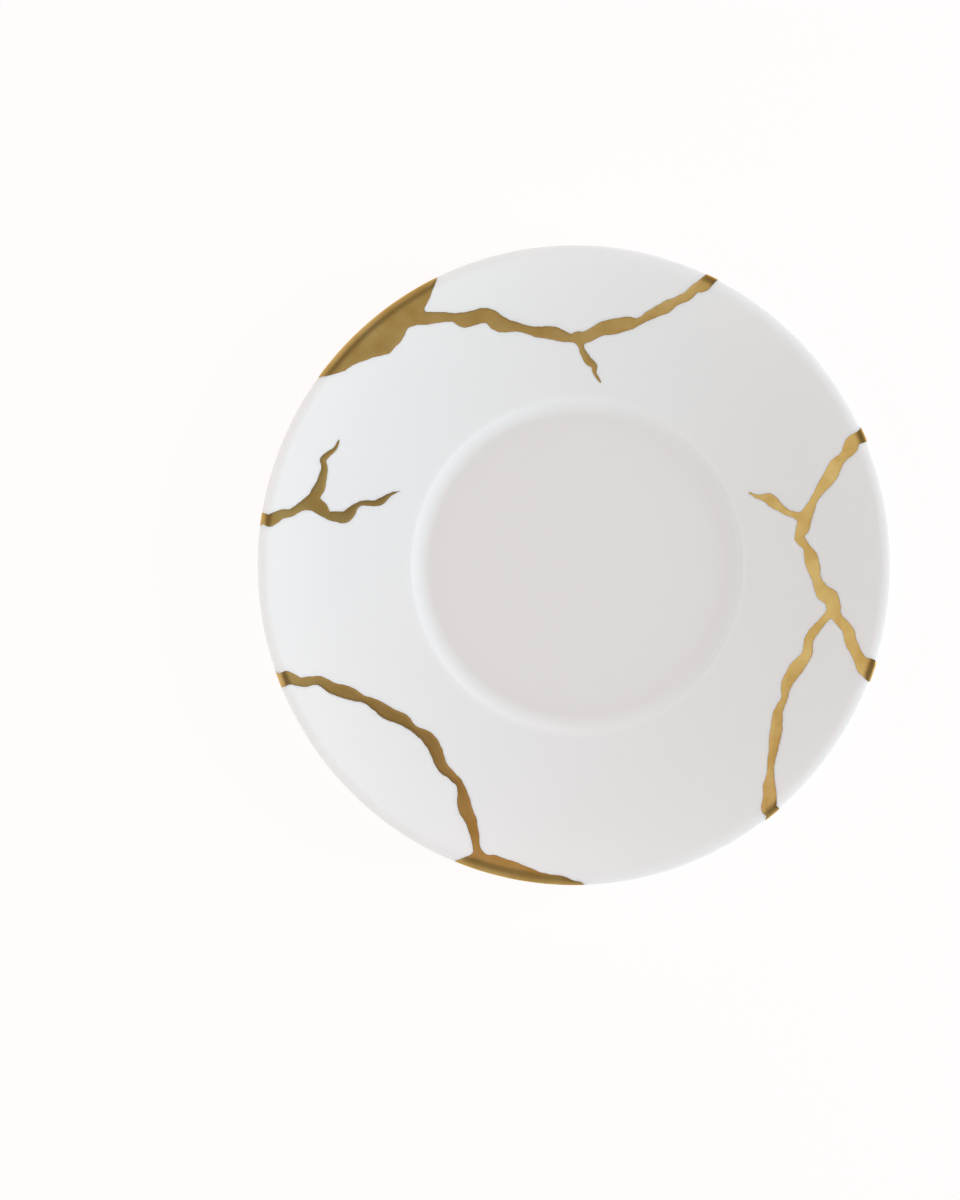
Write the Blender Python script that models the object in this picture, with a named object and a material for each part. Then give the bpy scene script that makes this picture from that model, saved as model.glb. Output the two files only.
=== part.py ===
"""A round porcelain tea saucer: a flat cup well, a wide wing that curves up to a thin
rolled lip, and a low foot ring below.

Lengths are in metres and +Z is up. The origin is on the table, under the centre of the
foot ring. The saucer is one turned body, so its half section is drawn first, as points
(radius, height) from the middle of the well out over the wing, round the lip and back
under the saucer to the middle of the base. That section is then spun about Z.
"""

import math

import bmesh
import bpy

# Whole saucer
RIM_RADIUS = 0.0800
RIM_HEIGHT = 0.0172

# Cup well
WELL_FLOOR_RADIUS = 0.0372
WELL_WALL_WIDTH = 0.0052
WELL_WALL_DEG = 22.0
WELL_DEPTH = 0.0013
SHOULDER_ROUNDING = 0.0015
FLOOR_THICKNESS = 0.0034

# Wing and lip
WING_THICKNESS = 0.0034
WING_START_DEG = 12.0
WING_END_DEG = 20.0
LIP_ROUNDING = 0.0050
LIP_END_DEG = 12.0
EDGE_ROUNDING = 0.0003
EDGE_UNDER_ROUNDING = 0.0010

# Foot ring
FOOT_RADIUS = 0.0446
FOOT_WIDTH = 0.0034
FOOT_TAPER = 0.0003
FOOT_FILLET = 0.0020
BASE_RECESS = 0.0025
BASE_FILLET = 0.0009
FOOT_EDGE_ROUNDING = 0.0005

# How finely the form is divided
TURN_STEPS = 96
WALL_STEPS = 5
WING_STEPS = 9
LIP_STEPS = 3
EDGE_STEPS = 3
FILLET_STEPS = 4
ROUNDING_STEPS = 2

# Glaze
GLAZE_COLOUR = (0.86, 0.86, 0.84, 1.0)
GLAZE_ROUGHNESS = 0.12
SHARP_ANGLE = math.radians(50)


def sweep(start, end, start_deg, end_deg, steps):
    """Points along a smooth line that leaves start and reaches end at these slopes.

    The start itself is left out, so that stretches can be joined one after another.
    """
    run = end[0] - start[0]
    leave = math.tan(math.radians(start_deg)) * run
    arrive = math.tan(math.radians(end_deg)) * run
    points = []
    for i in range(1, steps + 1):
        t = i / steps
        height = (2 * t**3 - 3 * t**2 + 1) * start[1]
        height += (t**3 - 2 * t**2 + t) * leave
        height += (3 * t**2 - 2 * t**3) * end[1]
        height += (t**3 - t**2) * arrive
        points.append((start[0] + run * t, height))
    return points


def arc(centre, radius, start_deg, end_deg, steps):
    """Points round an arc, without the one at its start."""
    points = []
    for i in range(1, steps + 1):
        angle = math.radians(start_deg + (end_deg - start_deg) * i / steps)
        points.append(
            (centre[0] + radius * math.cos(angle), centre[1] + radius * math.sin(angle))
        )
    return points


def upper_side(lip_start):
    """From the middle of the well, up its wall and along the wing to the lip.

    The well wall hollows up from the floor to a small rounded shoulder.
    """
    floor_height = BASE_RECESS + FLOOR_THICKNESS
    shoulder = (WELL_FLOOR_RADIUS + WELL_WALL_WIDTH, floor_height + WELL_DEPTH)
    turn = math.radians(WING_START_DEG)
    rounding_centre = (
        shoulder[0] + SHOULDER_ROUNDING * math.sin(turn),
        shoulder[1] - SHOULDER_ROUNDING * math.cos(turn),
    )
    steep = math.radians(WELL_WALL_DEG)
    wall_top = (
        rounding_centre[0] - SHOULDER_ROUNDING * math.sin(steep),
        rounding_centre[1] + SHOULDER_ROUNDING * math.cos(steep),
    )

    points = [(0.0, floor_height), (WELL_FLOOR_RADIUS, floor_height)]
    points += sweep(points[-1], wall_top, 0, WELL_WALL_DEG, WALL_STEPS)
    points += arc(
        rounding_centre,
        SHOULDER_ROUNDING,
        90 + WELL_WALL_DEG,
        90 + WING_START_DEG,
        ROUNDING_STEPS,
    )
    points += sweep(shoulder, lip_start, WING_START_DEG, WING_END_DEG, WING_STEPS)
    return points


def height_at(points, radius):
    """The height of a line of points at this radius."""
    for (r0, z0), (r1, z1) in zip(points, points[1:]):
        if r0 <= radius <= r1:
            return z0 + (z1 - z0) * (radius - r0) / (r1 - r0)
    return points[-1][1]


def lip_and_edge():
    """Over the soft lip, round the thin edge and on to the underside.

    The lip turns from the slope of the wing to level and a little past it. The first
    point is where the wing meets it.
    """
    turn = math.radians(LIP_END_DEG)
    apart = LIP_ROUNDING - EDGE_ROUNDING
    lip = (RIM_RADIUS - EDGE_ROUNDING - apart * math.sin(turn), RIM_HEIGHT - LIP_ROUNDING)
    edge = (RIM_RADIUS - EDGE_ROUNDING, lip[1] + apart * math.cos(turn))
    under = (RIM_RADIUS - EDGE_UNDER_ROUNDING, edge[1])

    points = arc(lip, LIP_ROUNDING, 90, 90 + WING_END_DEG, 1)
    points += arc(lip, LIP_ROUNDING, 90 + WING_END_DEG, 90, LIP_STEPS)
    points += arc(lip, LIP_ROUNDING, 90, 90 - LIP_END_DEG, ROUNDING_STEPS)
    points += arc(edge, EDGE_ROUNDING, 90 - LIP_END_DEG, 0, EDGE_STEPS)
    points += arc(under, EDGE_UNDER_ROUNDING, 0, WING_END_DEG - 90, EDGE_STEPS)
    return points


def under_side(top, edge_end):
    """From the edge in along the underside, round the foot ring and in to the axis."""
    fillet_top = FOOT_RADIUS + FOOT_FILLET
    wing_end = (fillet_top, height_at(top, fillet_top) - WING_THICKNESS)
    points = sweep(edge_end, wing_end, WING_END_DEG, WING_START_DEG, WING_STEPS)

    # The outer side of the foot narrows a little on its way down to the table.
    fillet_centre = (fillet_top, wing_end[1] - FOOT_FILLET)
    outer = FOOT_RADIUS - FOOT_TAPER
    inner = FOOT_RADIUS - FOOT_WIDTH
    rounding = FOOT_EDGE_ROUNDING
    points += arc(fillet_centre, FOOT_FILLET, 90, 180, FILLET_STEPS)
    points += [(outer, rounding)]
    points += arc((outer - rounding, rounding), rounding, 0, -90, ROUNDING_STEPS)
    points += [(inner + rounding, 0.0)]
    points += arc((inner + rounding, rounding), rounding, -90, -180, ROUNDING_STEPS)

    # Inside the ring the base is flat and stands clear of the table.
    corner = (inner - BASE_FILLET, BASE_RECESS - BASE_FILLET)
    points += [(inner, corner[1])]
    points += arc(corner, BASE_FILLET, 0, 90, FILLET_STEPS)
    points += [(0.0, BASE_RECESS)]
    return points


def half_section():
    lip = lip_and_edge()
    top = upper_side(lip[0])
    return top + lip[1:] + under_side(top, lip[-1])


def turned_mesh(name, section):
    """The body made by spinning a half section about Z, closed at both ends."""
    shape = bmesh.new()
    line = [shape.verts.new((radius, 0.0, height)) for radius, height in section]
    edges = [shape.edges.new(pair) for pair in zip(line, line[1:])]
    bmesh.ops.spin(
        shape,
        geom=line + edges,
        cent=(0.0, 0.0, 0.0),
        axis=(0.0, 0.0, 1.0),
        angle=math.tau,
        steps=TURN_STEPS,
        use_merge=True,
    )
    bmesh.ops.remove_doubles(shape, verts=shape.verts, dist=1e-6)
    bmesh.ops.recalc_face_normals(shape, faces=shape.faces)
    mesh = bpy.data.meshes.new(name)
    shape.to_mesh(mesh)
    shape.free()
    mesh.shade_smooth()
    mesh.set_sharp_from_angle(angle=SHARP_ANGLE)
    return mesh


def glaze_material():
    material = bpy.data.materials.new("white_glaze")
    material.use_nodes = True
    shader = material.node_tree.nodes["Principled BSDF"]
    shader.inputs["Base Color"].default_value = GLAZE_COLOUR
    shader.inputs["Roughness"].default_value = GLAZE_ROUGHNESS
    shader.inputs["Metallic"].default_value = 0.0
    return material


def clear_scene():
    for item in list(bpy.data.objects):
        bpy.data.objects.remove(item, do_unlink=True)


def main():
    clear_scene()
    mesh = turned_mesh("saucer", half_section())
    mesh.materials.append(glaze_material())
    saucer = bpy.data.objects.new("saucer", mesh)
    bpy.context.scene.collection.objects.link(saucer)


main()
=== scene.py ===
# %% [markdown]
# # A porcelain saucer mended with gold
#
# The saucer is white glazed porcelain with gold seams and gold-filled chips on its wing.
# The imported CAD model is loaded first. It is the frame that everything below is fitted to,
# and its box gives the rim's radius and height.

import math

import bpy
import numpy as np
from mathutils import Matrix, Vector


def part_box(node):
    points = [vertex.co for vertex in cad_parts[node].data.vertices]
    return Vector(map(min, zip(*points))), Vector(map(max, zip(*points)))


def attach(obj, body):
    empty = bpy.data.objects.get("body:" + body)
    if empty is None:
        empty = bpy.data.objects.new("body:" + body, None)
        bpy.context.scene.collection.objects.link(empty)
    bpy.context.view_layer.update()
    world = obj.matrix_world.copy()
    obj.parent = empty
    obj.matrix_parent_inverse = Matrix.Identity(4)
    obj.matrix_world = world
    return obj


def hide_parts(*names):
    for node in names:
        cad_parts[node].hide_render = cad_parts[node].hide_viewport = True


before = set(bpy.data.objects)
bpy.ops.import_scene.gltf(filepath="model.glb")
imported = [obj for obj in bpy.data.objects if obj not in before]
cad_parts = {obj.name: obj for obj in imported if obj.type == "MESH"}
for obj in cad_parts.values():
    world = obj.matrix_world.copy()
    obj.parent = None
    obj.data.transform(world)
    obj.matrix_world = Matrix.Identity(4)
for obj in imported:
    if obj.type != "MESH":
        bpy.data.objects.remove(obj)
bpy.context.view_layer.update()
saucer_low, saucer_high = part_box("saucer")
print("CAD saucer, mm:", [round(1000 * size, 2) for size in saucer_high - saucer_low])

# %% [markdown]
# ## The camera
#
# A long lens from a metre away keeps the rim almost a true circle. The camera looks down
# on the saucer from nine degrees off the vertical, leaning towards +X, and it aims a
# little left of the middle and below it, so the saucer sits right of and above the middle
# of the picture.

# %% Camera
CAMERA_LEAN = math.radians(9)
CAMERA_DISTANCE = 1.0028
LENS_MM = 120
SENSOR_MM = 36
AIM = Vector((-0.0229, -0.0087, saucer_high.z))

camera_data = bpy.data.cameras.new("camera")
camera_data.lens = LENS_MM
camera_data.sensor_width = SENSOR_MM
camera = bpy.data.objects.new("camera", camera_data)
bpy.context.scene.collection.objects.link(camera)
bpy.context.scene.camera = camera
toward_camera = Vector((math.sin(CAMERA_LEAN), 0, math.cos(CAMERA_LEAN)))
camera.location = AIM + CAMERA_DISTANCE * toward_camera
camera.rotation_euler = (0, CAMERA_LEAN, 0)
print("camera stands at", [round(value, 3) for value in camera.location])

# %% [markdown]
# ## The section
#
# A saucer is turned on a wheel, so one half section holds its whole shape: the flat floor
# of the well, the wall that hollows up to a small shoulder, the long wing that steepens
# towards the rim, the soft lip, the thin round edge, the underside and the foot ring.
# Two helpers draw it. One sweeps between two points with a given slope at each end, and
# the other goes round an arc. The values are the ones that the CAD solid is made from,
# with more points along the way.

# %% Helpers for the section
def sweep(start, end, start_deg, end_deg, steps):
    """Points along a smooth line with these slopes at its ends, without its start."""
    run = end[0] - start[0]
    leave = math.tan(math.radians(start_deg)) * run
    arrive = math.tan(math.radians(end_deg)) * run
    points = []
    for t in np.linspace(0, 1, steps + 1)[1:]:
        height = (2 * t**3 - 3 * t**2 + 1) * start[1] + (t**3 - 2 * t**2 + t) * leave
        height += (3 * t**2 - 2 * t**3) * end[1] + (t**3 - t**2) * arrive
        points.append((start[0] + run * t, height))
    return points


def arc(centre, radius, start_deg, end_deg, steps):
    """Points round an arc, without its start."""
    angles = np.radians(np.linspace(start_deg, end_deg, steps + 1)[1:])
    return [(centre[0] + radius * math.cos(a), centre[1] + radius * math.sin(a)) for a in angles]


# %% [markdown]
# Where gold wraps the lip, its film must not reach past the CAD model's box. The porcelain
# keeps one film thickness inside that box at the rim, which is far less than a hair.

# %% The upper side, from the middle of the well to the edge
FILM = 0.00006
RIM_RADIUS = saucer_high.x - FILM
RIM_HEIGHT = saucer_high.z - FILM

FLOOR_RADIUS = 0.0372
FLOOR_HEIGHT = 0.0059
SHOULDER = (0.0424, 0.0072)
SHOULDER_ROUNDING = 0.0015
WALL_DEG = 22
WING_START_DEG = 12
WING_END_DEG = 20

LIP_ROUNDING = 0.0050
LIP_END_DEG = 12
EDGE_ROUNDING = 0.0003
EDGE_UNDER_ROUNDING = 0.0010

rounding_centre = (
    SHOULDER[0] + SHOULDER_ROUNDING * math.sin(math.radians(WING_START_DEG)),
    SHOULDER[1] - SHOULDER_ROUNDING * math.cos(math.radians(WING_START_DEG)),
)
wall_top = (
    rounding_centre[0] - SHOULDER_ROUNDING * math.sin(math.radians(WALL_DEG)),
    rounding_centre[1] + SHOULDER_ROUNDING * math.cos(math.radians(WALL_DEG)),
)
lip_turn = math.radians(LIP_END_DEG)
apart = LIP_ROUNDING - EDGE_ROUNDING
lip_centre = (RIM_RADIUS - EDGE_ROUNDING - apart * math.sin(lip_turn), RIM_HEIGHT - LIP_ROUNDING)
edge_centre = (RIM_RADIUS - EDGE_ROUNDING, lip_centre[1] + apart * math.cos(lip_turn))
lip_start = arc(lip_centre, LIP_ROUNDING, 90, 90 + WING_END_DEG, 1)[0]

floor_radii = (0.0, 0.010, 0.020, 0.030, 0.034, 0.036, FLOOR_RADIUS)
section = [(floor_radius, FLOOR_HEIGHT) for floor_radius in floor_radii]
section += sweep(section[-1], wall_top, 0, WALL_DEG, 12)
section += arc(rounding_centre, SHOULDER_ROUNDING, 90 + WALL_DEG, 90 + WING_START_DEG, 6)
section += sweep(SHOULDER, lip_start, WING_START_DEG, WING_END_DEG, 26)
section += arc(lip_centre, LIP_ROUNDING, 90 + WING_END_DEG, 90, 9)
section += arc(lip_centre, LIP_ROUNDING, 90, 90 - LIP_END_DEG, 4)
section += arc(edge_centre, EDGE_ROUNDING, 90 - LIP_END_DEG, 0, 7)
edge_index = len(section) - 1
print("upper side:", len(section), "points, edge at", round(1000 * section[-1][0], 2), "mm")

# %% [markdown]
# The underside isn't seen from above, so it is kept plain: a wall of even thickness down
# to a low foot ring, with a recessed base inside it.

# %% The underside, from the edge to the middle of the base
FOOT_RADIUS = 0.0446
FOOT_WIDTH = 0.0034
FOOT_TAPER = 0.0003
FOOT_FILLET = 0.0020
WING_THICKNESS = 0.0034
BASE_HEIGHT = 0.0025
BASE_FILLET = 0.0009
FOOT_ROUNDING = 0.0005

# The wing's height above the foot is read from the part of the line before the lip.
WING_POINTS = 50
wing_radii, wing_heights = np.array(section[:WING_POINTS]).T
foot_top = FOOT_RADIUS + FOOT_FILLET
wing_above = float(np.interp(foot_top, wing_radii, wing_heights))
wing_under = (foot_top, wing_above - WING_THICKNESS)
foot_outer = FOOT_RADIUS - FOOT_TAPER
foot_inner = FOOT_RADIUS - FOOT_WIDTH
base_corner = (foot_inner - BASE_FILLET, BASE_HEIGHT - BASE_FILLET)

under_centre = (RIM_RADIUS - EDGE_UNDER_ROUNDING, edge_centre[1])
section += arc(under_centre, EDGE_UNDER_ROUNDING, 0, WING_END_DEG - 90, 7)
section += sweep(section[-1], wing_under, WING_END_DEG, WING_START_DEG, 20)
section += arc((foot_top, wing_under[1] - FOOT_FILLET), FOOT_FILLET, 90, 180, 8)
section += [(foot_outer, FOOT_ROUNDING)]
section += arc((foot_outer - FOOT_ROUNDING, FOOT_ROUNDING), FOOT_ROUNDING, 0, -90, 4)
section += [(foot_inner + FOOT_ROUNDING, 0.0)]
section += arc((foot_inner + FOOT_ROUNDING, FOOT_ROUNDING), FOOT_ROUNDING, -90, -180, 4)
section += [(foot_inner, base_corner[1])]
section += arc(base_corner, BASE_FILLET, 0, 90, 6)
section += [(0.036, BASE_HEIGHT), (0.020, BASE_HEIGHT), (0.0, BASE_HEIGHT)]
print("whole section:", len(section), "points")

# %% [markdown]
# The section becomes a curve, which both the porcelain and the gold are made from. It is
# only a guide, so it is removed when they are done.

# %% The section as a guide curve
def guide_curve(name, points):
    """A straight-sided curve through these (radius, height) points."""
    data = bpy.data.curves.new(name, "CURVE")
    data.dimensions = "3D"
    spline = data.splines.new("POLY")
    spline.points.add(len(points) - 1)
    for knot, (radius, height) in zip(spline.points, points):
        knot.co = (radius, 0, height, 1)
    guide = bpy.data.objects.new(name, data)
    bpy.context.scene.collection.objects.link(guide)
    return guide


section_guide = guide_curve("section_guide", section)

# %% [markdown]
# ## Helpers for node trees
#
# Materials and Geometry Nodes are both trees of nodes joined by links. These helpers add
# a node with its settings, give its sockets values or links, and turn the finished result
# of a modifier into a plain mesh.

# %% Helpers for node trees
def maths(tree, operation, first, second):
    """The result of one sum on two numbers, each a value or a socket."""
    return add(tree, "ShaderNodeMath", {0: first, 1: second}, operation=operation).outputs[0]


def add(tree, kind, inputs=None, **settings):
    """A node in a tree. Each input is a value, or the output socket that it is linked to."""
    node = tree.nodes.new(kind)
    for name, value in settings.items():
        setattr(node, name, value)
    for name, value in (inputs or {}).items():
        if isinstance(value, bpy.types.NodeSocket):
            tree.links.new(value, node.inputs[name])
        else:
            node.inputs[name].default_value = value
    return node


def new_tree(name, inputs):
    """A Geometry Nodes tree with these named inputs, and its input node."""
    tree = bpy.data.node_groups.new(name, "GeometryNodeTree")
    for label, kind in inputs:
        tree.interface.new_socket(label, in_out="INPUT", socket_type=kind)
    tree.interface.new_socket("Geometry", in_out="OUTPUT", socket_type="NodeSocketGeometry")
    return tree, tree.nodes.new("NodeGroupInput")


def close_tree(tree, geometry, material):
    """Ends a tree with real, smooth, coloured geometry."""
    smooth = add(tree, "GeometryNodeSetShadeSmooth", {"Geometry": geometry})
    real = add(tree, "GeometryNodeRealizeInstances", {"Geometry": smooth.outputs[0]})
    coloured = add(
        tree,
        "GeometryNodeSetMaterial",
        {"Geometry": real.outputs[0], "Material": material},
    )
    output = tree.nodes.new("NodeGroupOutput")
    tree.links.new(coloured.outputs[0], output.inputs[0])


def made_by(tree, name, values, start=None):
    """A plain mesh object of what a tree makes, with its inputs set by identifier."""
    start = start or bpy.data.meshes.new(name + "_source")
    source = bpy.data.objects.new(name + "_source", start)
    bpy.context.scene.collection.objects.link(source)
    modifier = source.modifiers.new("nodes", "NODES")
    modifier.node_group = tree
    items = [item for item in tree.interface.items_tree if item.in_out == "INPUT"]
    sockets = {item.name: item.identifier for item in items}
    for label, value in values.items():
        modifier[sockets[label]] = value
    graph = bpy.context.evaluated_depsgraph_get()
    evaluated = source.evaluated_get(graph)
    mesh = bpy.data.meshes.new_from_object(
        evaluated, preserve_all_data_layers=True, depsgraph=graph
    )
    mesh.name = name
    source.modifiers.remove(modifier)
    bpy.data.objects.remove(source)
    piece = bpy.data.objects.new(name, mesh)
    bpy.context.scene.collection.objects.link(piece)
    return piece


def measure(piece):
    """Prints a piece's size, triangle count and enclosed volume."""
    mesh = piece.data
    mesh.calc_loop_triangles()
    points = np.array([v.co for v in mesh.vertices])
    corners = points[np.array([t.vertices for t in mesh.loop_triangles])]
    volume = np.einsum("ij,ij->i", corners[:, 0], np.cross(corners[:, 1], corners[:, 2])).sum() / 6
    size = 1000 * (points.max(0) - points.min(0))
    print(piece.name, "mm", size.round(2), len(corners), "triangles", round(1e9 * volume, 1), "mm3")
    return volume

# %% [markdown]
# ## Materials
#
# The glaze is a clear glass over a white body. Its colour carries painted shade and a painted
# highlight: the floor of the well is painted a shade greyer and warmer than the wing, darkest
# at the foot of its wall, and the shoulder is painted whiter as a thin highlight line. Light
# also travels a little way inside the body, so that its bends shade softly. The ring that the
# saucer stands on is wiped clean before firing, so it stays matt and ivory. A very low, wide
# unevenness keeps the reflections from looking machined.

# %% Material: porcelain
def new_material(name):
    material = bpy.data.materials.new(name)
    material.use_nodes = True
    tree = material.node_tree
    return material, tree, tree.nodes["Principled BSDF"]


def ramp(tree, factor, stops):
    """A colour ramp through (place, grey or colour) stops."""
    node = add(tree, "ShaderNodeValToRGB", {"Fac": factor})
    elements = node.color_ramp.elements
    while len(elements) < len(stops):
        elements.new(0.5)
    for element, (place, colour) in zip(elements, stops):
        element.position = place
        element.color = (*(colour if isinstance(colour, tuple) else (colour,) * 3), 1)
    return node.outputs["Color"]


def mixed(tree, factor, first, second):
    """A colour between two others, each a value or a socket."""
    node = tree.nodes.new("ShaderNodeMix")
    node.data_type = "RGBA"
    for number, value in ((0, factor), (6, first), (7, second)):
        if isinstance(value, bpy.types.NodeSocket):
            tree.links.new(value, node.inputs[number])
        else:
            node.inputs[number].default_value = (*value, 1)
    return node.outputs[2]


# The glaze colour rings by radius are painted light: painted shade greys and warms the well floor,
# darkest at the wall's foot.
GLAZE_WHITE = (0.86, 0.855, 0.85)
GLAZE_WELL_PAINTED_SHADE = (0.838, 0.811, 0.793)
GLAZE_WALL_FOOT_PAINTED_SHADE = (0.828, 0.800, 0.781)
# A painted highlight: the glaze on the shoulder is painted whiter where a highlight line falls.
GLAZE_SHOULDER_PAINTED_HIGHLIGHT = (0.89, 0.885, 0.88)
GLAZE_PAINTED_LIGHT_RINGS = (
    (0.0330, GLAZE_WELL_PAINTED_SHADE),
    (0.0378, GLAZE_WALL_FOOT_PAINTED_SHADE),
    (0.0402, GLAZE_WHITE),
    (0.0416, GLAZE_SHOULDER_PAINTED_HIGHLIGHT),
    (0.0436, GLAZE_WHITE),
)
BISCUIT = (0.72, 0.68, 0.60)
LIGHT_TRAVEL = 0.0010

porcelain, tree, shader = new_material("white_porcelain")
place = add(tree, "ShaderNodeTexCoord")
axes = add(tree, "ShaderNodeSeparateXYZ", {"Vector": place.outputs["Object"]})
flat = add(tree, "ShaderNodeCombineXYZ", {"X": axes.outputs["X"], "Y": axes.outputs["Y"]})
radius = add(tree, "ShaderNodeVectorMath", {0: flat.outputs[0]}, operation="LENGTH")
across = maths(tree, "DIVIDE", radius.outputs["Value"], RIM_RADIUS)
# This ramp paints shade into the well and a highlight on the shoulder.
glaze = ramp(tree, across, [(ring / RIM_RADIUS, colour) for ring, colour in GLAZE_PAINTED_LIGHT_RINGS])
bare_foot = add(
    tree,
    "ShaderNodeMapRange",
    {
        "Value": axes.outputs["Z"],
        "From Min": 0.00015,
        "From Max": 0.0004,
        "To Min": 1,
        "To Max": 0,
    },
    interpolation_type="SMOOTHSTEP",
)
body_colour = mixed(tree, bare_foot.outputs["Result"], glaze, BISCUIT)
tree.links.new(body_colour, shader.inputs["Base Color"])
gloss = add(
    tree,
    "ShaderNodeMapRange",
    {"Value": bare_foot.outputs["Result"], "To Min": 0.09, "To Max": 0.75},
)
tree.links.new(gloss.outputs["Result"], shader.inputs["Roughness"])
unevenness = add(
    tree,
    "ShaderNodeTexNoise",
    {"Vector": place.outputs["Object"], "Scale": 70, "Detail": 1.0},
)
bump = add(
    tree,
    "ShaderNodeBump",
    {"Height": unevenness.outputs[0], "Strength": 0.02, "Distance": 0.001},
)
tree.links.new(bump.outputs["Normal"], shader.inputs["Normal"])
shader.inputs["IOR"].default_value = 1.5
shader.inputs["Subsurface Weight"].default_value = 1.0
shader.inputs["Subsurface Radius"].default_value = (1.0, 1.0, 1.0)
shader.inputs["Subsurface Scale"].default_value = LIGHT_TRAVEL

# %% [markdown]
# The gold is burnished leaf over lacquer: a satin metal, warm, with soft cloudy changes of
# tone where it was rubbed more or less, fine grain, and a thin darker line where it ends.

# %% Material: burnished gold
GOLD_LIGHT = (0.82, 0.56, 0.20)
GOLD_DEEP = (0.70, 0.44, 0.13)
GOLD_LINE = (0.60, 0.37, 0.12)

gold, tree, shader = new_material("burnished_gold")
place = add(tree, "ShaderNodeTexCoord")
cloud = add(
    tree,
    "ShaderNodeTexNoise",
    {"Vector": place.outputs["Object"], "Scale": 160, "Detail": 3.0},
)
rubbing = ramp(tree, cloud.outputs[0], [(0.35, 0.0), (0.65, 1.0)])
tone = mixed(tree, rubbing, GOLD_DEEP, GOLD_LIGHT)
inset = add(tree, "ShaderNodeAttribute", attribute_name="inset")
line = add(
    tree,
    "ShaderNodeMapRange",
    {"Value": inset.outputs["Fac"], "From Min": 0.00003, "From Max": 0.00018},
    interpolation_type="SMOOTHSTEP",
)
gold_colour = mixed(tree, line.outputs["Result"], GOLD_LINE, tone)
tree.links.new(gold_colour, shader.inputs["Base Color"])
rubbed = add(
    tree,
    "ShaderNodeMapRange",
    {"Value": cloud.outputs[0], "From Min": 0.3, "From Max": 0.7, "To Min": 0.24, "To Max": 0.17},
)
tree.links.new(rubbed.outputs["Result"], shader.inputs["Roughness"])
grain = add(
    tree,
    "ShaderNodeTexNoise",
    {"Vector": place.outputs["Object"], "Scale": 900, "Detail": 3.0},
)
bump = add(
    tree,
    "ShaderNodeBump",
    {"Height": grain.outputs[0], "Strength": 0.05, "Distance": 0.0002},
)
tree.links.new(bump.outputs["Normal"], shader.inputs["Normal"])
shader.inputs["Metallic"].default_value = 1.0
print("materials:", porcelain.name, gold.name)

# %% [markdown]
# ## Turning the porcelain
#
# Geometry Nodes can do what the wheel does. A flat grid gets one row of points for each
# point of the section and one column for each step of the turn. Each row then takes its
# radius and height from the section, and each column is turned about Z by its angle. The
# first and last columns meet and the rows on the axis shrink to a point, so points that
# share a place are merged at the end.

# %% Geometry Nodes: a body turned on the wheel
TURNS = 512

wheel, wheel_in = new_tree(
    "turned_on_the_wheel",
    [
        ("Section", "NodeSocketObject"),
        ("Turns", "NodeSocketInt"),
        ("Material", "NodeSocketMaterial"),
    ],
)
guide = add(wheel, "GeometryNodeObjectInfo", {"Object": wheel_in.outputs["Section"]})
count = add(
    wheel,
    "GeometryNodeAttributeDomainSize",
    {"Geometry": guide.outputs["Geometry"]},
    component="CURVE",
)
columns = maths(wheel, "ADD", wheel_in.outputs["Turns"], 1)
grid = add(
    wheel,
    "GeometryNodeMeshGrid",
    {"Vertices X": count.outputs["Point Count"], "Vertices Y": columns},
)
number = add(wheel, "GeometryNodeInputIndex")
row = maths(wheel, "FLOOR", maths(wheel, "DIVIDE", number.outputs[0], columns), 0)
column = maths(wheel, "SUBTRACT", number.outputs[0], maths(wheel, "MULTIPLY", row, columns))
turn_share = maths(wheel, "DIVIDE", column, wheel_in.outputs["Turns"])
turn = maths(wheel, "MULTIPLY", turn_share, math.tau)
where = add(wheel, "GeometryNodeInputPosition")
knot = add(
    wheel,
    "GeometryNodeSampleIndex",
    {"Geometry": guide.outputs["Geometry"], "Value": where.outputs[0], "Index": row},
    data_type="FLOAT_VECTOR",
    domain="POINT",
)
turned = add(
    wheel,
    "ShaderNodeVectorRotate",
    {"Vector": knot.outputs[0], "Axis": (0, 0, 1), "Angle": turn},
    rotation_type="AXIS_ANGLE",
)
placed = add(
    wheel,
    "GeometryNodeSetPosition",
    {"Geometry": grid.outputs["Mesh"], "Position": turned.outputs[0]},
)
merged = add(
    wheel,
    "GeometryNodeMergeByDistance",
    {"Geometry": placed.outputs[0], "Distance": 1e-6},
)
close_tree(wheel, merged.outputs[0], wheel_in.outputs["Material"])

# %% The porcelain saucer
saucer = made_by(
    wheel,
    "porcelain_saucer",
    {"Section": section_guide, "Turns": TURNS, "Material": porcelain},
)
if measure(saucer) < 0:
    saucer.data.flip_normals()
    measure(saucer)

# %% [markdown]
# ## The gold
#
# Each mend is drawn flat first. The drawing board is the saucer unrolled along its
# section: the distance from the middle of the board is the distance along the section
# from the middle of the well, and the angle is the angle round the saucer. A seam that
# runs off the board's rim therefore goes on over the lip and ends on the underside.
#
# A place on the board is inside the gold where its distance to the gold's outline is
# negative, so distances are what the helpers work out. A little smooth noise added to
# them gives every outline its hand-laid wobble.

# %% The drawing board
CELL = 0.22
EDGE_STATION = 80
points = 1000 * np.array(section)
lengths = np.concatenate([[0], np.cumsum(np.hypot(*np.diff(points, axis=0).T))])
RIM_LENGTH = lengths[edge_index]


def along(radius):
    """The distance along the section, in mm, of a radius in mm on the upper side."""
    return float(np.interp(radius, points[: edge_index + 1, 0], lengths[: edge_index + 1]))


def on_board(stations):
    """Board places, in mm, of (degrees, radius, ...) stations.

    A radius of EDGE_STATION + n means n mm past the edge, on the underside.
    """
    places = []
    for degrees, radius, *rest in stations:
        past = radius - EDGE_STATION
        length = along(radius) if past < 0 else RIM_LENGTH + past
        angle = math.radians(degrees)
        places.append((length * math.cos(angle), length * math.sin(angle), *rest))
    return np.array(places)


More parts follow.
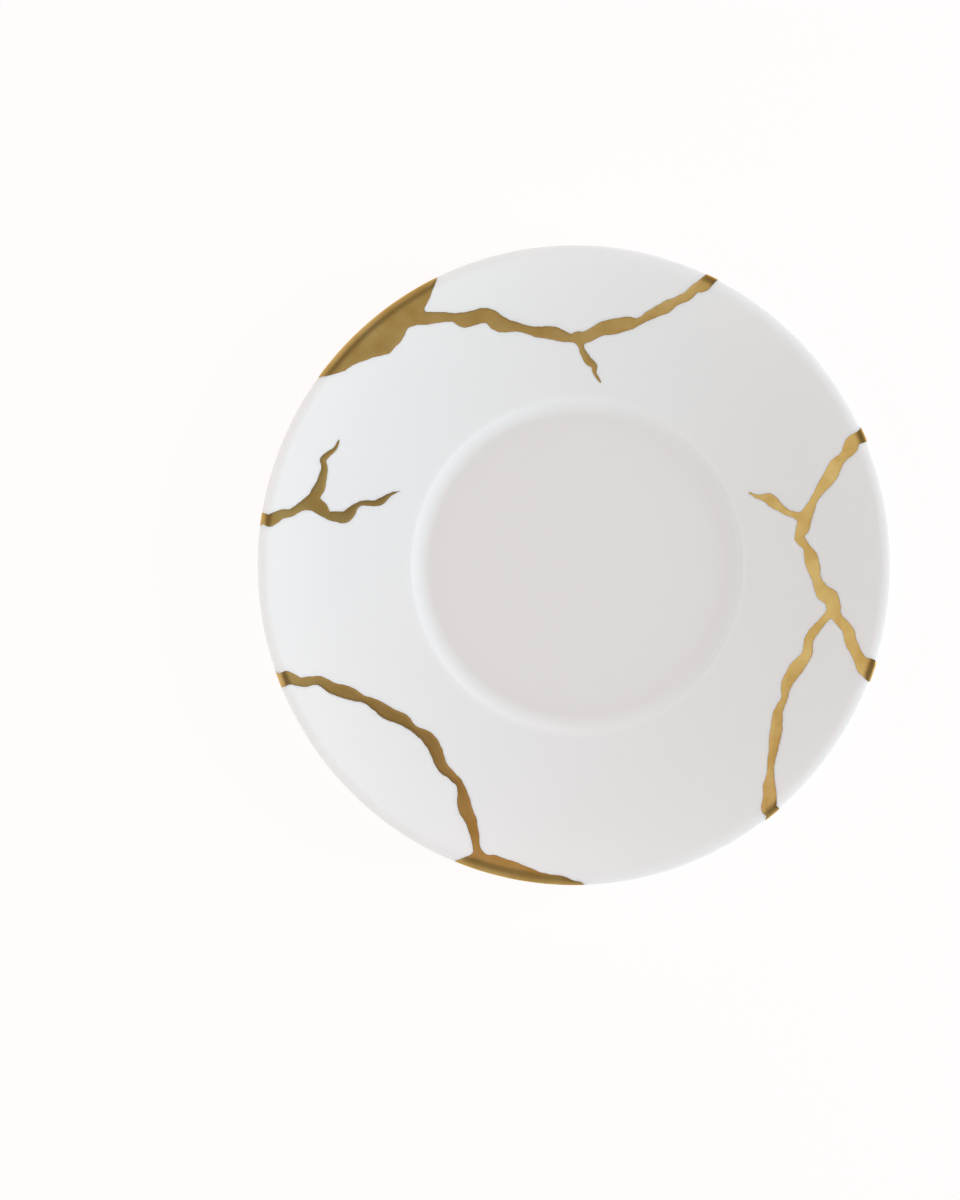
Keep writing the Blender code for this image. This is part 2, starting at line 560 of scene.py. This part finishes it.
print("from the middle to the edge along the section:", round(RIM_LENGTH, 2), "mm")

# %% Distances to seams and chips
THINNEST = 0.12
NOISE_WAVES = 14
NOISE_HEIGHT = 5.3


def smooth_noise(x, y, wavelength, seed):
    """Smooth noise of about -1 to 1, made of waves that cross at random angles."""
    random = np.random.default_rng(seed)
    total = np.zeros_like(x)
    for _ in range(NOISE_WAVES):
        angle, phase = random.uniform(0, math.tau, 2)
        pitch = wavelength * random.uniform(0.7, 1.4)
        travelled = x * math.cos(angle) + y * math.sin(angle)
        total += np.sin(math.tau * travelled / pitch + phase)
    return total / NOISE_HEIGHT


def kinked(line, sway, random):
    """A line of (x, y, half width) with one more kink, thinner or wider, in each stretch."""
    made = [line[0]]
    for start, end in zip(line, line[1:]):
        middle = start + random.uniform(0.35, 0.65) * (end - start)
        aside = np.array((start[1] - end[1], end[0] - start[0]))
        middle[:2] += random.uniform(-sway, sway) * aside
        middle[2] *= random.uniform(0.7, 1.35)
        made += [middle, end]
    return np.array(made)


def eased(line, steps):
    """The same line with its kinks eased into short curves."""
    padded = np.vstack([2 * line[0] - line[1], line, 2 * line[-1] - line[-2]])
    made = []
    for a, b, c, d in zip(padded, padded[1:], padded[2:], padded[3:]):
        for t in np.arange(steps) / steps:
            cubic = (3 * b - a - 3 * c + d) * t**3 + (2 * a - 5 * b + 4 * c - d) * t**2
            made.append(0.5 * (2 * b + (c - a) * t + cubic))
    return np.array(made + [line[-1]])


def seam_distance(x, y, line):
    """Distance to a seam that runs along a line of (x, y, half width)."""
    best = np.full_like(x, 1e3)
    for start, end in zip(line, line[1:]):
        run = end[:2] - start[:2]
        t = np.clip(((x - start[0]) * run[0] + (y - start[1]) * run[1]) / (run @ run), 0, 1)
        gap = np.hypot(x - start[0] - t * run[0], y - start[1] - t * run[1])
        best = np.minimum(best, gap - np.maximum(start[2] + t * (end[2] - start[2]), THINNEST))
    return best


def joined(first, second, softness):
    """The smaller of two distances, with the notch between them filled in softly."""
    blend = np.clip(0.5 + 0.5 * (second - first) / softness, 0, 1)
    return second + (first - second) * blend - softness * blend * (1 - blend)


def chip_distance(x, y, outline):
    """Distance to a closed outline, negative inside it."""
    best = np.full_like(x, 1e3)
    inside = np.zeros(x.shape, bool)
    for start, end in zip(outline, np.roll(outline, -1, axis=0)):
        run = end - start
        t = np.clip(((x - start[0]) * run[0] + (y - start[1]) * run[1]) / (run @ run), 0, 1)
        best = np.minimum(best, np.hypot(x - start[0] - t * run[0], y - start[1] - t * run[1]))
        if start[1] != end[1]:
            crosses = (start[1] > y) != (end[1] > y)
            inside ^= crosses & (x < start[0] + (y - start[1]) * run[0] / run[1])
    return np.where(inside, -best, best)

# %% [markdown]
# A mend is a list of seams and chips. A seam is a route with a half width at each of its
# points, and a chip is the part of the rim outside an inner line. Where seams meet, the
# lacquer under the gold pulls into small webs, which the soft join of their distances
# gives.
#
# The flat shape is then cut from a grid of small cells. Each cell gives one face, made of
# its corners that are inside and of the places where the outline crosses its sides. The
# film is thin at the outline and thicker inside, and it has a lower side sunk into the
# glaze, so that it is closed.

# %% From distances to a flat closed film
EDGE_LIFT = 0.008
FULL_LIFT = 0.048
SINK = 0.03
ROUNDED = 0.9


def film_faces(depth, x, y):
    """Points and faces of the area where depth is negative, one face for each cell."""
    depth = np.where(np.abs(depth) < 0.1 * CELL, -0.1 * CELL, depth)
    inside = depth < 0
    numbers, places, faces = {}, [], []

    def vertex(key, place):
        if key not in numbers:
            numbers[key] = len(places)
            places.append(place)
        return numbers[key]

    touched = inside[:-1, :-1] | inside[1:, :-1] | inside[:-1, 1:] | inside[1:, 1:]
    for i, j in np.argwhere(touched):
        ring = [(i, j), (i + 1, j), (i + 1, j + 1), (i, j + 1)]
        face = []
        for a, b in zip(ring, ring[1:] + ring[:1]):
            if inside[a]:
                face.append(vertex((a, a), (x[a], y[a])))
            if inside[a] != inside[b]:
                t = min(max(depth[a] / (depth[a] - depth[b]), 0.12), 0.88)
                cut = (x[a] + t * (x[b] - x[a]), y[a] + t * (y[b] - y[a]))
                face.append(vertex((min(a, b), max(a, b)), cut))
        faces.append(face)
    return np.array(places), faces


def flat_film(name, distance, low, high):
    """A closed film on the board over the area where distance is negative."""
    xs = np.arange(low[0], high[0], CELL)
    ys = np.arange(low[1], high[1], CELL)
    x, y = np.meshgrid(xs, ys, indexing="ij")
    places, faces = film_faces(distance(x, y), x, y)
    inset = np.maximum(-distance(places[:, 0], places[:, 1]), 0)
    t = np.clip(inset / ROUNDED, 0, 1)
    lift = EDGE_LIFT + (FULL_LIFT - EDGE_LIFT) * (1 - (1 - t) ** 2)
    count = len(places)
    top = np.column_stack([places, lift])
    bottom = np.column_stack([places, np.full(count, -SINK)])
    sides = {(a, b) for face in faces for a, b in zip(face, face[1:] + face[:1])}
    walls = [(b, a, a + count, b + count) for a, b in sides if (b, a) not in sides]
    lower = [[corner + count for corner in reversed(face)] for face in faces]
    mesh = bpy.data.meshes.new(name)
    mesh.from_pydata(0.001 * np.vstack([top, bottom]), [], faces + lower + walls)
    mesh.update()
    attribute = mesh.attributes.new("inset", "FLOAT", "POINT")
    attribute.data.foreach_set("value", 0.001 * np.concatenate([inset, np.zeros(count)]))
    return mesh

# %% [markdown]
# ### Laying the gold on the glaze
#
# A second tree wraps a flat film onto the saucer. For each point of the film it goes that
# far along the section, steps off the glaze by the film's height there, and turns the
# result to the point's angle.

# %% Geometry Nodes: a film laid on the glaze
laying, laying_in = new_tree(
    "laid_on_the_glaze",
    [
        ("Geometry", "NodeSocketGeometry"),
        ("Section", "NodeSocketObject"),
        ("Material", "NodeSocketMaterial"),
    ],
)
guide = add(laying, "GeometryNodeObjectInfo", {"Object": laying_in.outputs["Section"]})
flat_place = add(laying, "GeometryNodeInputPosition")
board = add(laying, "ShaderNodeSeparateXYZ", {"Vector": flat_place.outputs[0]})
turn = maths(laying, "ARCTAN2", board.outputs["Y"], board.outputs["X"])
squares = maths(
    laying,
    "ADD",
    maths(laying, "MULTIPLY", board.outputs["X"], board.outputs["X"]),
    maths(laying, "MULTIPLY", board.outputs["Y"], board.outputs["Y"]),
)
glaze_point = add(
    laying,
    "GeometryNodeSampleCurve",
    {"Curves": guide.outputs["Geometry"], "Length": maths(laying, "SQRT", squares, 0)},
    mode="LENGTH",
)
heading = add(laying, "ShaderNodeSeparateXYZ", {"Vector": glaze_point.outputs["Tangent"]})
outward = add(
    laying,
    "ShaderNodeCombineXYZ",
    {"X": maths(laying, "MULTIPLY", heading.outputs["Z"], -1), "Z": heading.outputs["X"]},
)
step_off = add(
    laying,
    "ShaderNodeVectorMath",
    {0: outward.outputs[0], "Scale": board.outputs["Z"]},
    operation="SCALE",
)
raised = add(
    laying,
    "ShaderNodeVectorMath",
    {0: glaze_point.outputs["Position"], 1: step_off.outputs[0]},
    operation="ADD",
)
wrapped = add(
    laying,
    "ShaderNodeVectorRotate",
    {"Vector": raised.outputs[0], "Axis": (0, 0, 1), "Angle": turn},
    rotation_type="AXIS_ANGLE",
)
laid = add(
    laying,
    "GeometryNodeSetPosition",
    {"Geometry": laying_in.outputs["Geometry"], "Position": wrapped.outputs[0]},
)
close_tree(laying, laid.outputs[0], laying_in.outputs["Material"])

# %% [markdown]
# ### Drawing the mends
#
# Four mends are spread round the rim, as where a saucer was knocked and broken: shards of
# the wing set back in with gold, cracks that run out to nothing, and chips of the rim that
# are filled. A seam is drawn as stations: the angle in degrees from +X, the radius in mm
# and the half width in mm. It swells and narrows along the way and flares where it goes
# over the lip. A chip is drawn as a closed outline of (degrees, radius) stations.

# %% Helper for a mend
SEAM_WEB = 1.0
CHIP_WEB = 1.4
SWAY = 0.13
MARGIN = 4


def mend(name, seams, chips, seed):
    """One piece of gold, from its seams and chips."""
    random = np.random.default_rng(seed)
    lines = [eased(kinked(on_board(stations), SWAY, random), 4) for stations in seams]
    outlines = [on_board(stations) for stations in chips]

    def distance(x, y):
        total = np.full_like(x, 1e3)
        for line in lines:
            total = joined(total, seam_distance(x, y, line), SEAM_WEB)
        for outline in outlines:
            total = joined(total, chip_distance(x, y, outline), CHIP_WEB)
        wide = 0.16 * smooth_noise(x, y, 6.0, seed + 1)
        fine = 0.06 * smooth_noise(x, y, 2.2, seed + 2)
        return total + (wide + fine)

    every = np.vstack([line[:, :2] for line in lines] + outlines)
    low, high = every.min(0) - MARGIN, every.max(0) + MARGIN
    film = flat_film(name + "_flat", distance, low, high)
    piece = made_by(laying, name, {"Section": section_guide, "Material": gold}, film)
    piece.data.set_sharp_from_angle(angle=math.radians(40))
    measure(piece)
    return piece

# %% The mend along the top: a filled chip and the seam that runs from it
top_seam = [
    (123, 74, 1.6), (116, 69.5, 1.2), (109, 66.5, 1.9), (102, 61, 1.0), (95, 58.5, 1.7),
    (88, 57, 1.3), (81, 60.5, 1.9), (75, 63, 0.9), (70, 68.5, 1.5), (66.5, 73, 1.1),
    (64.5, 77, 1.7), (63.5, 82, 2.3),
]
top_crack = [(89, 57.5, 1.2), (87.5, 53.5, 0.8), (84.5, 50.5, 0.9), (82, 46.5, 0.12)]
top_chip = [
    (114.5, 81.9), (115.5, 79), (118, 76.2), (121.5, 73.6), (125, 72.6), (128, 71.2),
    (131, 70.9), (134, 72.8), (136.5, 74.6), (139.5, 75.6), (142, 77.8), (143.5, 80.2),
    (144, 81.9), (137, 82.1), (129, 81.9), (121, 82.1),
]
mends = [mend("gold_mend_top", [top_seam, top_crack], [top_chip], 11)]

# %% The mend on the right: a shard of the wing and a long seam below it
right_shard = [
    (24, 82, 2.4), (23.5, 77, 1.7), (21.5, 73, 1.1), (18.5, 68, 1.8), (15.5, 63, 1.0),
    (11.5, 59.5, 1.7), (7, 57, 1.2), (2, 59.5, 1.7), (-3, 61, 1.1), (-7, 65, 1.9),
    (-11, 67.5, 1.2), (-15, 72, 1.5), (-18.5, 76.5, 1.8), (-20, 82, 2.5),
]
right_crack = [(11.5, 59.5, 1.1), (14.5, 54.5, 0.9), (19, 51.5, 1.2), (22.5, 47.5, 0.12)]
right_seam = [
    (-9, 66.5, 1.0), (-17, 62, 1.2), (-25, 61.5, 1.8), (-32, 62.5, 0.9), (-39, 65.5, 1.6),
    (-44, 69.5, 1.0), (-48, 74, 1.6), (-50.5, 78, 1.9), (-51.5, 82, 2.6),
]
mends.append(mend("gold_mend_right", [right_shard, right_crack, right_seam], [], 23))

# %% The mends at the bottom and on the left
low_seam = [
    (-107, 77.5, 1.5), (-110, 72, 1.1), (-114, 67, 1.8), (-120, 61.5, 1.0), (-127, 58.5, 1.6),
    (-135, 58, 1.0), (-142, 60.5, 1.7), (-148, 63.5, 1.0), (-153, 68.5, 1.5),
    (-156.5, 73.5, 1.2), (-158.5, 77.5, 1.7), (-159.5, 82, 2.4),
]
low_chip = [
    (-86, 81.9), (-88, 79.3), (-92, 77.6), (-96, 77.2), (-100, 75.8), (-105, 75.2),
    (-109, 77.0), (-111.5, 79.6), (-112, 81.9), (-104, 82.1), (-95, 81.9),
]
mends.append(mend("gold_mend_low", [low_seam], [low_chip], 37))

left_crack = [
    (172, 82, 2.3), (171.5, 77.5, 1.6), (169.5, 73, 1.0), (166.5, 68.5, 1.7), (168.5, 64, 1.1),
    (168, 59.5, 1.4), (163.5, 56, 0.8), (161.5, 52, 0.9), (157, 48.5, 0.12),
]
left_fork = [(167, 69, 1.1), (161.5, 67.5, 1.2), (157, 69, 0.8), (152, 67.5, 0.12)]
mends.append(mend("gold_mend_left", [left_crack, left_fork], [], 41))

bpy.data.objects.remove(section_guide)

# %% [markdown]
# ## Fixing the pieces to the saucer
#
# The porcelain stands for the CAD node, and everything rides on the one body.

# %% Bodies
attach(saucer, "root")
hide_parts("saucer")
for piece in mends:
    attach(piece, "root")

# %% [markdown]
# ## The studio
#
# The saucer lies on a pale table that fills the picture. The table gives off most of its
# brightness itself, so that its colour stays even and shadows on it stay faint.

# %% Table
TABLE_COLOUR = (0.15, 0.15, 0.15, 1)
TABLE_GLOW = (1.0, 0.971, 0.963, 1)
TABLE_HALF = 4.0

pale_table, tree, shader = new_material("pale_table")
shader.inputs["Base Color"].default_value = TABLE_COLOUR
shader.inputs["Roughness"].default_value = 0.9
shader.inputs["Specular IOR Level"].default_value = 0.0
shader.inputs["Emission Color"].default_value = TABLE_GLOW
shader.inputs["Emission Strength"].default_value = 0.875

table_mesh = bpy.data.meshes.new("table")
signs = ((-1, -1), (1, -1), (1, 1), (-1, 1))
corners = [(TABLE_HALF * right, TABLE_HALF * back, 0) for right, back in signs]
table_mesh.from_pydata(corners, [], [(0, 1, 2, 3)])
table_mesh.materials.append(pale_table)
table = bpy.data.objects.new("table", table_mesh)
bpy.context.scene.collection.objects.link(table)

# %% [markdown]
# Two soft lamps add to the room. The key stands far off on the right and low, and it
# brightens the left wing, which faces it. A small weak lamp hangs close over the left
# side, so its light falls off across the well. Only its soft light is wanted, so neither
# the gold nor the glaze mirrors it.

# %% Lights
def area_light(name, place, size, power, colour):
    """A square lamp that faces the saucer."""
    data = bpy.data.lights.new(name, "AREA")
    data.size = size
    data.energy = power
    data.color = colour
    lamp = bpy.data.objects.new(name, data)
    lamp.location = place
    lamp.rotation_mode = "QUATERNION"
    lamp.rotation_quaternion = Vector(place).to_track_quat("Z", "Y")
    bpy.context.scene.collection.objects.link(lamp)
    return lamp


area_light("key", (0.92, 0, 0.42), 0.5, 6.6, (0.80, 0.90, 1.0))
near = area_light("near_left", (-0.14, 0, 0.22), 0.2, 0.10, (1.0, 0.90, 0.79))
near.visible_camera = False
near.visible_glossy = False

# %% [markdown]
# The room is bright low down and darker overhead, and each of its four sides has its own
# tone. The satin gold mirrors it: on the wing it sees the walls, and on the level lip it
# sees the dark ceiling, which is why the lip reads as a brown band. Each side gets a ramp
# from overhead down to the ground, and a direction between two sides gets a share of both.
# Past the table the camera sees a plain white in place of the room.

# %% Room
OVERHEAD_DEG = 6
OVERHEAD = (0.178, 0.163, 0.153)
SIDES_DEG = (18, 32, 48, 66, 88)
SIDES = {
    "right": (
        (0.24, 0.25, 0.255), (0.48, 0.51, 0.53), (0.57, 0.58, 0.59),
        (0.89, 0.99, 1.05), (0.92, 1.05, 1.13),
    ),
    "left": (
        (0.64, 0.60, 0.58), (0.78, 0.83, 0.89), (0.81, 0.82, 0.85),
        (0.98, 0.91, 0.87), (1.03, 0.98, 0.95),
    ),
    "back": (
        (0.21, 0.19, 0.18), (0.47, 0.37, 0.31), (0.55, 0.42, 0.36),
        (0.81, 0.71, 0.66), (0.79, 0.68, 0.65),
    ),
    "front": (
        (0.37, 0.375, 0.38), (0.46, 0.44, 0.43), (0.51, 0.48, 0.45),
        (0.65, 0.69, 0.67), (0.67, 0.73, 0.71),
    ),
}
GROUND_WHITE = (0.98, 0.978, 0.965)

world = bpy.data.worlds.new("room")
bpy.context.scene.world = world
world.use_nodes = True
tree = world.node_tree
tree.nodes.clear()
toward = add(tree, "ShaderNodeTexCoord")
axes = add(tree, "ShaderNodeSeparateXYZ", {"Vector": toward.outputs["Generated"]})
x, y, z = axes.outputs
from_overhead = maths(tree, "DIVIDE", maths(tree, "ARCCOSINE", z, 0), math.pi / 2)
level = maths(tree, "ADD", maths(tree, "MULTIPLY", x, x), maths(tree, "MULTIPLY", y, y))
level = maths(tree, "MAXIMUM", level, 1e-6)
room_light = None
for side, axis, sign in (("right", x, 1), ("left", x, -1), ("back", y, 1), ("front", y, -1)):
    facing = maths(tree, "MAXIMUM", maths(tree, "MULTIPLY", axis, sign), 0)
    share = maths(tree, "DIVIDE", maths(tree, "MULTIPLY", facing, facing), level)
    stops = [(OVERHEAD_DEG / 90, OVERHEAD)]
    stops += [(angle / 90, tone) for angle, tone in zip(SIDES_DEG, SIDES[side])]
    part = add(
        tree,
        "ShaderNodeVectorMath",
        {0: ramp(tree, from_overhead, stops), "Scale": share},
        operation="SCALE",
    ).outputs[0]
    if room_light is not None:
        both = add(tree, "ShaderNodeVectorMath", {0: room_light, 1: part}, operation="ADD")
        part = both.outputs[0]
    room_light = part
seen = add(tree, "ShaderNodeLightPath")
shown = mixed(tree, seen.outputs["Is Camera Ray"], room_light, GROUND_WHITE)
background = add(tree, "ShaderNodeBackground", {"Color": shown, "Strength": 1.0})
add(tree, "ShaderNodeOutputWorld", {"Surface": background.outputs[0]})

scene = bpy.context.scene
scene.view_settings.view_transform = "Standard"
scene.view_settings.look = "None"
